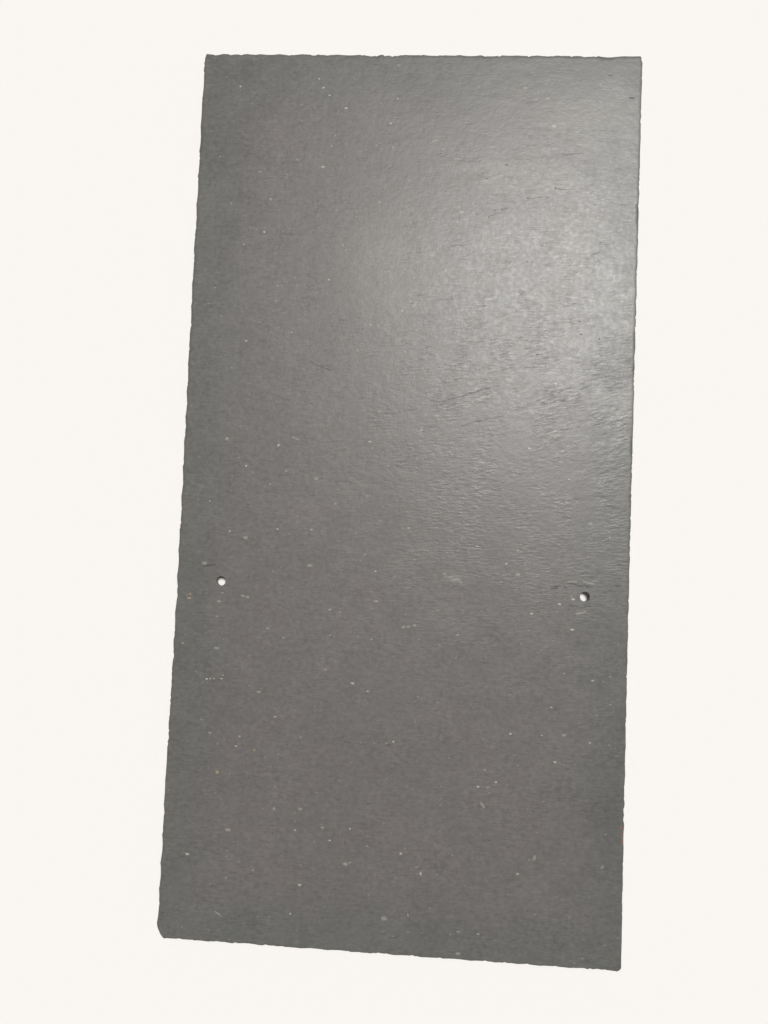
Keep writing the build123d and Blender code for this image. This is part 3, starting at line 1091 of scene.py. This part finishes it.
# Pale soft patches: a small pale scuff, and large patches of painted sheen that widen and lift the lamp's
# highlight
SCUFF_AND_SHEEN = [
    (112, 214, 42, 60), (96, 212, 60, 44), (66, 180, 70, 26), (92, 148, 34, 40), (112, 118, 30, 66),
    (-14, 128, 60, 70), (30, -47, 17, 8), (115, 52, 24, 44),
]
BRIGHT_SPOTS = [
    (-54.6, 230, 1.4, 1.1), (-57.4, 235.3, 1.0, 0.9), (-50.9, 225.6, 1.3, 0.8), (-41.2, 218.1, 1.8, 1.1),
    (-15.2, 209.4, 1.1, 1.3), (-11.9, 224, 1.2, 0.7), (-52.9, 183.5, 1.7, 1.1), (-102.9, 230.4, 1.1, 0.9),
    (-84.8, 145, 1.4, 1.1), (-91.9, 82, 1.4, 0.9), (-70.6, 23.1, 1.7, 1.3), (-19.4, 26.9, 1.7, 0.9),
    (-4.4, 101.3, 1.4, 0.8), (-46.6, 118.1, 1.3, 0.8), (-100, 26.3, 1.3, 0.9), (-88.4, 11, 1.3, 1.1),
    (-107.9, -9.6, 1.0, 0.9), (-95.8, -25.9, 1.1, 0.9), (-69, -23.8, 1.4, 0.7), (-50, -23.4, 1.5, 0.7),
    (-13.4, -44.8, 1.1, 0.9), (-12.5, -61.3, 2.0, 0.6), (-23.5, -106.5, 1.8, 1.1), (-15, -110.5, 1.4, 0.8),
    (-104.6, -108.1, 1.5, 1.0), (-102.4, -107.8, 1.2, 0.8), (-100.3, -107.8, 1.1, 0.6),
    (-96, -107.6, 1.5, 0.6), (-95.3, -105.7, 1.2, 0.6), (-65.3, -126.8, 1.3, 0.8), (-84.4, -138.4, 1.3, 0.9),
    (-86.3, -143.8, 1.4, 0.7), (-110.3, -203.4, 2.2, 1.1), (-51.5, -187.1, 1.0, 0.9),
    (-32.3, -191.5, 1.4, 0.8), (-21.6, -184.4, 1.0, 1.1), (-47.5, -215.9, 1.8, 1.3),
    (-51.9, -231.5, 1.1, 1.2), (63.1, -129.3, 1.3, 1.0), (80, -129.3, 1.1, 0.8), (105.6, -131.9, 1.2, 0.9),
    (87.5, -143.1, 1.6, 1.1), (0.2, -136.7, 1.1, 1.1), (46.9, -158.3, 1.4, 1.0), (56.3, -155.3, 1.5, 0.9),
    (6.5, -196.1, 1.4, 1.0), (17.6, -206, 1.1, 2.0), (49.4, -235.5, 1.4, 0.7), (69.4, -202.9, 1.3, 1.0),
    (72.5, -64.4, 1.7, 1.3), (94.6, -72, 2.1, 1.1), (94.7, -55.6, 1.8, 1.0), (93.7, -54.1, 1.1, 0.8),
    (87.4, -58.5, 2.0, 1.2), (106.3, -98.8, 1.7, 0.7), (84.5, -114.1, 1.1, 0.8), (32.9, -77.6, 1.3, 0.8),
    (41.9, -28.8, 1.7, 0.6), (3.8, -20.3, 1.0, 0.7), (113.4, -21.3, 1.2, 0.7), (58.1, -37.8, 1.3, 0.8),
    (82, 62.5, 1.5, 0.9), (9, 34.3, 1.4, 0.8), (68.5, 26, 1.4, 0.8), (90.5, 9.8, 1.4, 0.7),
]
SOFT_SPOTS = [
    (24.6, -44.8, 2.4, 0.6), (28, -46.2, 3.0, 0.8), (31.4, -47.4, 3.6, 1.2), (33.4, -49, 2.0, 0.7),
    (29.6, -48, 2.2, 0.5), (-46.6, 202.1, 1.0, 1.0), (-48.5, 195.6, 0.8, 1.4), (-67.9, 187.5, 1.6, 0.7),
    (-81.9, 164.1, 1.6, 1.4),
    (-96.3, 137.5, 1.4, 1.3), (-104.6, 161.3, 1.3, 1.4), (-112.5, 188.8, 1.4, 1.0),
    (-22.5, 196.3, 1.1, 1.0), (-19.6, 163.5, 1.3, 1.1), (-13.5, 195.5, 1.7, 1.2), (-4.4, 160.9, 1.3, 0.6),
    (-66.9, 220, 1.2, 1.0), (-75.9, 114.1, 1.4, 1.0), (-64.4, 114.6, 1.2, 1.0), (-75.9, 105.6, 1.5, 0.8),
    (-111.4, 112.1, 1.2, 1.1), (-66.3, 87.5, 1.4, 1.1), (-99.6, 66.3, 1.4, 1.0), (-65.6, 8.8, 1.5, 1.2),
    (-17.3, 92.3, 1.4, 0.9), (-21.9, 92.8, 1.2, 1.1), (-28.5, 78.1, 1.3, 1.1), (-15, 43.8, 1.6, 1.0),
    (-8.8, 13.8, 1.6, 0.9), (-37.1, -8.5, 1.3, 1.1), (-19.4, -3.4, 1.5, 0.8), (-19.6, -36, 1.6, 1.2),
    (-98.1, -60.4, 1.7, 0.7), (-71.9, -78.8, 2.0, 0.8), (-62.9, -83.5, 1.6, 1.0), (-37.1, -81, 1.1, 0.8),
    (-14.1, -82.3, 1.2, 1.0), (-38.8, -100, 1.2, 1.0), (-88.1, -214.6, 1.3, 1.0),
    (-73.4, -209.9, 1.5, 1.0), (-63.4, -176.3, 1.5, 1.6), (-20.6, -202.5, 1.6, 0.9),
    (30.6, -144, 1.3, 0.9), (50, -149.1, 1.2, 1.0), (77.9, -194.1, 1.6, 2.2), (11.5, -228.1, 1.1, 1.6),
    (113.8, -196.9, 1.5, 1.9), (38.8, -235, 2.4, 0.8), (-1.3, -230.7, 3.6, 2.0), (62.5, -108.4, 1.2, 0.7),
    (32.3, -90, 1.1, 0.9), (21.6, -64.9, 1.4, 0.8), (55.6, -47.8, 1.5, 0.7), (19, -19.4, 1.4, 0.6),
    (47, 17.5, 1.8, 0.6), (52.5, 93, 1.2, 0.8), (73, 224.8, 1.8, 1.1), (105, 58, 3.0, 1.6),
    (3.1, -74.8, 1.9, 1.4), (6, -74.4, 1.9, 1.3), (9.2, -73.5, 1.8, 1.2),
]
OCHRE_SPOTS = [
    (60.2, 230.8, 2.2, 1.1), (-39.4, 138.5, 0.9, 1.7), (-37.2, 135.4, 1.3, 0.8), (-95.9, -158.5, 2.0, 1.7),
    (-116.7, -64.1, 2.3, 1.3), (-116.2, -61.8, 1.3, 1.1),
    (-75.9, -145.3, 1.4, 1.1), (-119.1, -89, 1.4, 1.0),
]
RUST_SPOTS = [
    (124.2, -178.6, 1.6, 1.4), (123.4, -175.6, 1.0, 2.2), (124.2, -182.6, 1.4, 1.6),
]


def on_bed_face(place):
    """Return a place given in millimetres as a point of the bed face, with its height flattened."""
    return (place[0] * MM, place[1] * MM, float(HIGH[2]) * MARK_FLATTENING)


def mark_mask(tree, aways, frayed, edge):
    """Return the mask of the nearest of several marks, with edges that a noise frays.

    The aways are drawn one by one, so that each mark's nodes come just before its comparison.
    """
    nearest = next(aways)
    for away in aways:
        nearest = maths(tree, "MINIMUM", nearest, away)
    return smooth_between(tree, maths(tree, "ADD", nearest, frayed), *edge)


def line_mask(tree, group, place, frayed, marks):
    """Return the joined mask of several lines of the bed face."""
    aways = (use_group(tree, group, Place=place, Start=on_bed_face(start), End=on_bed_face(end),
                       Half_width=width / 2 * MM)["Away"]
             for points, width in marks for start, end in zip(points, points[1:]))
    return mark_mask(tree, aways, frayed, MARK_EDGE)


def spot_mask(tree, group, place, frayed, marks, edge):
    """Return the joined mask of several spots of the bed face."""
    aways = (use_group(tree, group, Place=place, Centre=on_bed_face((x, y)),
                       Reach=(along / 2 * MM, across / 2 * MM, SPOT_HEIGHT))["Away"]
             for x, y, along, across in marks)
    return mark_mask(tree, aways, frayed, edge)


def riven_masks(tree, groups, finish, place, grain, cloud):
    """Return the masks of all that is laid over the riven stone, by name, and the tone of its specks."""
    masks = {}
    masks["hairs"] = use_group(tree, groups["hairlines"], Place=grain, Run=finish.hair_run,
                               Spacing=finish.hair_spacing, Width=finish.hair_width,
                               Share=finish.hair_share)["Mask"]
    masks["crevices"] = use_group(tree, groups["hairlines"], Place=grain, Run=finish.crevice_run,
                                  Spacing=finish.crevice_spacing, Width=finish.crevice_width,
                                  Share=finish.crevice_share)["Mask"]
    masks["pits"] = use_group(tree, groups["specks"], Place=place, Cell=finish.pit_spacing,
                              Radius=finish.pit_radius, Share=finish.pit_share,
                              Stretch=PIT_STRETCH)["Mask"]

    flat = vector_maths(tree, "MULTIPLY", place, (1.0, 1.0, MARK_FLATTENING))
    wavy = wavering(tree, flat, WAVER_CELL, WAVER_REACH)
    breaks = noise_node(tree, place, scale=BREAK_SCALE)[0]
    fraying = noise_node(tree, place, scale=FRAY_SCALE)[0]
    frayed = maths(tree, "MULTIPLY_ADD", fraying, 2 * FRAY_REACH, -FRAY_REACH)
    for name, marks in (("cracks", CRACKS), ("lines", CLEAVAGE_LINES), ("pale_lines", PALE_LINES)):
        masks[name] = line_mask(tree, groups["line"], wavy, frayed, marks)
    for name, bounds in (("cracks", CRACK_BREAKS), ("lines", LINE_BREAKS)):
        masks[name] = maths(tree, "MULTIPLY", masks[name], smooth_between(tree, breaks, *bounds))
    # Large soft patches: the dark ones partly painted shade, the pale ones mostly painted sheen
    for name, marks in (("stains_and_shade", STAINS_AND_SHADE), ("scuff_and_sheen", SCUFF_AND_SHEEN)):
        masks[name] = spot_mask(tree, groups["spot"], flat, cloud, marks, PATCH_EDGE)
    for name, marks in (("dark", DARK_SPOTS), ("bright", BRIGHT_SPOTS), ("soft", SOFT_SPOTS),
                        ("ochre", OCHRE_SPOTS), ("rust", RUST_SPOTS)):
        masks[name] = spot_mask(tree, groups["spot"], flat, frayed, marks, MARK_EDGE)

    specks = use_group(tree, groups["specks"], Place=place, Cell=finish.speck_spacing,
                       Radius=finish.speck_radius, Share=finish.speck_share,
                       Stretch=SPECK_STRETCH)
    dust = use_group(tree, groups["specks"], Place=place, Cell=finish.dust_spacing,
                     Radius=finish.dust_radius, Share=finish.dust_share,
                     Stretch=DUST_STRETCH)
    masks["specks"], masks["dust"] = specks["Mask"], dust["Mask"]
    return masks, specks["Tone"]


def riven_material(groups, colours, finish):
    """Riven stone: grain lines, grit, hairlines and pits as height, and flecked, stained grey, with painted
    shade along the sides and in large dark patches, and painted sheen in pale patches.
    """
    material, tree, shader = new_material("riven_slate")
    place = add_node(tree, "ShaderNodeTexCoord").outputs["Object"]
    grain = add_node(tree, "ShaderNodeAttribute", attribute_name="grain").outputs["Vector"]
    side_shade = add_node(tree, "ShaderNodeAttribute", attribute_name="side_shade").outputs["Fac"]
    wrinkled = add_node(tree, "ShaderNodeAttribute", attribute_name="wrinkled").outputs["Fac"]

    fine, broad = (use_group(tree, groups["crenulation"], Place=grain, Run=run, Spacing=spacing,
                             Waver=spacing)["Height"]
                   for run, spacing in ((finish.fine_run, finish.fine_spacing),
                                        (finish.broad_run, finish.broad_spacing)))
    pebble, grit, cloud = (use_group(tree, groups["grit"], Place=place, Size=size)["Height"]
                           for size in (finish.pebble_size, finish.grit_size, finish.cloud_size))
    clumps = use_group(tree, groups["mottle"], Place=grain, Size=finish.clump_size)["Amount"]
    masks, speck_tone = riven_masks(tree, groups, finish, place, grain, cloud)
    masks["crevices"] = maths(tree, "MULTIPLY", masks["crevices"], clumps)

    strength = maths(tree, "MULTIPLY", maths(tree, "MULTIPLY_ADD", clumps, *CLUMPED_HEIGHT), wrinkled)
    clumped = maths(tree, "MULTIPLY", fine, strength)
    streaked = maths(tree, "MULTIPLY", fine, maths(tree, "MULTIPLY_ADD", clumps, *CLUMPED_TONE))
    height = add_weighted(tree, 0.0, (clumped, finish.fine_height), (broad, finish.broad_height),
                          (pebble, finish.pebble_height), (grit, finish.grit_height),
                          (masks["hairs"], -finish.hair_depth), (masks["crevices"], -finish.crevice_depth),
                          (masks["pits"], -finish.pit_depth))
    raise_surface(tree, shader, height, 1.0)

    large, small = (use_group(tree, groups["mottle"], Place=place, Size=size)["Amount"]
                    for size in (LARGE_PATCH, SMALL_PATCH))
    # Painted shade: darker, more green stone near the sides from the side attribute; the large patches add
    # the stone's own green tone
    green_and_side_shade = maths(tree, "ADD", maths(tree, "MULTIPLY", side_shade, SHADE_BY_SIDES),
                    maths(tree, "MULTIPLY", large, GREEN_BY_PATCHES), clamp=True)
    colour = mix_colours(tree, small, rgba(colours.stone), rgba(colours.warm_stone))
    colour = mix_colours(tree, green_and_side_shade, colour, rgba(colours.green_and_shaded_stone))
    tone = add_weighted(tree, 1.0, (grit, finish.grit_tone), (streaked, finish.wrinkle_tone),
                        (cloud, finish.cloud_tone))
    colour = vector_maths(tree, "MULTIPLY", colour, triple(tree, tone))
    tints = {name: rgba(getattr(colours, name)) for name in ("dark", "pale", "ochre", "rust")}
    tints["speck"] = mix_colours(tree, maths(tree, "MULTIPLY", speck_tone, 0.5), tints["pale"],
                                 tints["ochre"])
    for name, tint, share in LAYERS:
        colour = mix_colours(tree, maths(tree, "MULTIPLY", masks[name], share), colour, tints[tint])
    tree.links.new(colour, shader.inputs["Base Color"])

    lined = add_weighted(tree, 0.0, (masks["cracks"], LINE_MATTING), (masks["lines"], LINE_MATTING))
    marked = maths(tree, "MAXIMUM", lined, masks["dark"])
    rough = add_weighted(tree, finish.roughness, (grit, finish.grit_matting), (cloud, finish.cloud_matting),
                         (clumped, -finish.wrinkle_matting), (masks["pits"], PIT_MATTING),
                         (marked, finish.mark_matting))
    tree.links.new(rough, shader.inputs["Roughness"])
    shader.inputs["IOR"].default_value = RIVEN_IOR
    return material


def broken_material(groups, colours):
    """Freshly broken stone: paler, matt, and layered along the cleavage."""
    material, tree, shader = new_material("broken_slate")
    place = add_node(tree, "ShaderNodeTexCoord").outputs["Object"]
    layers = vector_maths(tree, "MULTIPLY", place, (1.0, 1.0, LAMINA_FLATTENING))
    laminae = use_group(tree, groups["grit"], Place=layers, Size=LAMINA_SIZE)["Height"]
    grit = use_group(tree, groups["grit"], Place=place, Size=BROKEN_GRIT_SIZE)["Height"]
    patches = use_group(tree, groups["mottle"], Place=place, Size=BROKEN_PATCH)["Amount"]
    grains = use_group(tree, groups["specks"], Place=place, Cell=GRAIN_CELL, Radius=GRAIN_RADIUS,
                       Share=GRAIN_SHARE, Stretch=DUST_STRETCH)["Mask"]
    height = add_weighted(tree, 0.0, (laminae, LAMINA_HEIGHT), (grit, BROKEN_GRIT_HEIGHT))
    raise_surface(tree, shader, height, MM)
    colour = mix_colours(tree, patches, rgba(colours.stone), rgba(colours.broken))
    lit = smooth_between(tree, laminae, -0.4, 0.5)
    colour = mix_colours(tree, maths(tree, "MULTIPLY", lit, 0.4), colour, rgba(colours.broken))
    colour = mix_colours(tree, maths(tree, "MULTIPLY", grains, 0.5), colour, rgba(colours.pale))
    tree.links.new(colour, shader.inputs["Base Color"])
    rough = maths(tree, "MULTIPLY_ADD", patches, PALE_MATTING, BROKEN_ROUGHNESS)
    tree.links.new(rough, shader.inputs["Roughness"])
    shader.inputs["IOR"].default_value = BROKEN_IOR
    return material


def build_groups():
    """Build the node groups that the two stones share."""
    return {
        "crenulation": crenulation_group(),
        "grit": grit_group(),
        "specks": specks_group(),
        "hairlines": hairlines_group(),
        "line": line_group(),
        "spot": spot_group(),
        "mottle": mottle_group(),
    }


def add_fields(mesh, relief):
    """Store the place along the grain, how near a point is to the sides for the painted shade there, and how
    wrinkled it is there.

    The wrinkles are strongest right of the middle, 10 mm above it: exp(-((y - 10) / 100)^2) of them. A
    share of them is everywhere, and less of it near the tail.
    """
    places = np.empty(len(mesh.vertices) * 3, np.float32)
    mesh.vertices.foreach_get("co", places)
    x, y, z = places.reshape(-1, 3).astype(float).T
    along, across = grain_place(x, y, relief)
    grain = mesh.attributes.new("grain", "FLOAT_VECTOR", "POINT")
    grain.data.foreach_set("vector", np.stack([along, across, z], axis=1).astype(np.float32).ravel())
    from_side = np.minimum.reduce([x - LOW[0], HIGH[0] - x, y - LOW[1], HIGH[1] - y])
    wrinkled = (0.15 + 0.35 * blend(190 * MM, 70 * MM, y)
                + np.exp(-((y / MM - 10.0) / 100.0) ** 2) * blend(-90 * MM, 60 * MM, x))
    wrinkles = mesh.attributes.new("wrinkled", "FLOAT", "POINT")
    wrinkles.data.foreach_set("value", wrinkled.astype(np.float32))
    # Painted shade: 1 at the sides, fading to 0 at 42 mm in, darkening the stone there
    side_shade = mesh.attributes.new("side_shade", "FLOAT", "POINT")
    side_shade.data.foreach_set("value", (1 - blend(2 * MM, 42 * MM, from_side)).astype(np.float32))


class SLATE_OT_riven_slate(bpy.types.Operator):
    """Build the riven slate in place of the plain solid."""

    bl_idname = "slate.riven_slate"
    bl_label = "Riven slate"

    def execute(self, context):
        scene = context.scene
        skin = slate_skin(scene.slate_sizes, scene.slate_relief)
        mesh, kinds = skin.mesh("riven_slate")
        if mesh.validate(verbose=True):
            raise RuntimeError("the slate's mesh had faces that Blender had to mend")
        add_fields(mesh, scene.slate_relief)
        groups = build_groups()
        mesh.materials.append(riven_material(groups, scene.slate_colours, scene.slate_finish))
        mesh.materials.append(broken_material(groups, scene.slate_colours))
        mesh.polygons.foreach_set("material_index", kinds.astype(np.int32))
        mesh.shade_smooth()
        slate = bpy.data.objects.new("riven_slate", mesh)
        scene.collection.objects.link(slate)
        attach(slate, "root")
        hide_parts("slate")
        return {"FINISHED"}


def floor_material(colour):
    """Plain matt floor."""
    material, _, shader = new_material("pale_floor")
    shader.inputs["Base Color"].default_value = rgba(colour)
    shader.inputs["Roughness"].default_value = 0.9
    shader.inputs["Specular IOR Level"].default_value = 0.0
    return material


def studio_world(studio):
    """White to the camera and in reflections, and a soft fill for the rest."""
    world = bpy.data.worlds.new("studio")
    world.use_nodes = True
    tree = world.node_tree
    background = tree.nodes["Background"]
    path = add_node(tree, "ShaderNodeLightPath").outputs
    seen = maths(tree, "ADD", maths(tree, "ADD", path["Is Camera Ray"], path["Is Glossy Ray"]),
                 path["Is Transmission Ray"], clamp=True)
    strength = maths(tree, "MULTIPLY_ADD", seen, 1.0 - studio.fill_level, studio.fill_level)
    background.inputs["Color"].default_value = rgba(studio.floor)
    tree.links.new(strength, background.inputs["Strength"])
    return world


class SLATE_OT_studio(bpy.types.Operator):
    """Build the floor, the lamp, the surroundings and the camera."""

    bl_idname = "slate.studio"
    bl_label = "Studio"

    def execute(self, context):
        scene = context.scene
        studio = scene.slate_studio
        half = studio.floor_size / 2
        mesh = bpy.data.meshes.new("floor")
        mesh.from_pydata([(-half, -half, 0), (half, -half, 0), (half, half, 0), (-half, half, 0)], [],
                         [(0, 1, 2, 3)])
        mesh.materials.append(floor_material(studio.floor))
        floor = bpy.data.objects.new("floor", mesh)
        scene.collection.objects.link(floor)

        scene.world = studio_world(studio)
        way = Vector(studio.key_slope).normalized()
        lamp = bpy.data.lights.new("key", "SUN")
        lamp.angle = studio.key_angle
        lamp.color = studio.key_colour
        lamp.energy = studio.key_level * math.pi / way.z
        key = bpy.data.objects.new("key", lamp)
        key.rotation_euler = way.to_track_quat("Z", "Y").to_euler()
        key.location = way * 2.0
        scene.collection.objects.link(key)

        lens = bpy.data.cameras.new("camera")
        lens.sensor_fit = "VERTICAL"
        lens.sensor_height = 36.0
        lens.lens = studio.focal_share * lens.sensor_height
        lens.clip_start = 0.01
        camera = bpy.data.objects.new("camera", lens)
        camera.location = Vector(studio.camera_place) + Vector((0.0, 0.0, float(HIGH[2])))
        camera.rotation_euler = Euler(studio.camera_turn, "XYZ")
        scene.collection.objects.link(camera)
        scene.camera = camera
        scene.view_settings.view_transform = "Standard"
        return {"FINISHED"}


class SLATE_PT_sidebar(bpy.types.Panel):
    """The slate's values and operators."""

    bl_label = "Slate"
    bl_idname = "SLATE_PT_sidebar"
    bl_space_type = "VIEW_3D"
    bl_region_type = "UI"
    bl_category = "Slate"

    def draw(self, context):
        layout = self.layout
        scene = context.scene
        for group in (scene.slate_sizes, scene.slate_relief, scene.slate_finish, scene.slate_colours,
                      scene.slate_studio):
            box = layout.box()
            for name in group.__annotations__:
                box.prop(group, name)
        layout.operator(SLATE_OT_riven_slate.bl_idname)
        layout.operator(SLATE_OT_studio.bl_idname)


CLASSES = (SlateSizes, SlateRelief, SlateFinish, SlateColours, StudioSetting, SLATE_OT_riven_slate,
           SLATE_OT_studio, SLATE_PT_sidebar)


def register():
    """Register the classes and hang their values on the scene."""
    for entry in CLASSES:
        bpy.utils.register_class(entry)
    bpy.types.Scene.slate_sizes = PointerProperty(type=SlateSizes)
    bpy.types.Scene.slate_relief = PointerProperty(type=SlateRelief)
    bpy.types.Scene.slate_finish = PointerProperty(type=SlateFinish)
    bpy.types.Scene.slate_colours = PointerProperty(type=SlateColours)
    bpy.types.Scene.slate_studio = PointerProperty(type=StudioSetting)


def unregister():
    """Take the values off the scene and unregister the classes."""
    for name in ("slate_sizes", "slate_relief", "slate_finish", "slate_colours", "slate_studio"):
        delattr(bpy.types.Scene, name)
    for entry in reversed(CLASSES):
        bpy.utils.unregister_class(entry)


def main():
    """Build the slate and its studio."""
    register()
    bpy.ops.slate.studio()
    bpy.ops.slate.riven_slate()


if __name__ == "__main__":
    main()
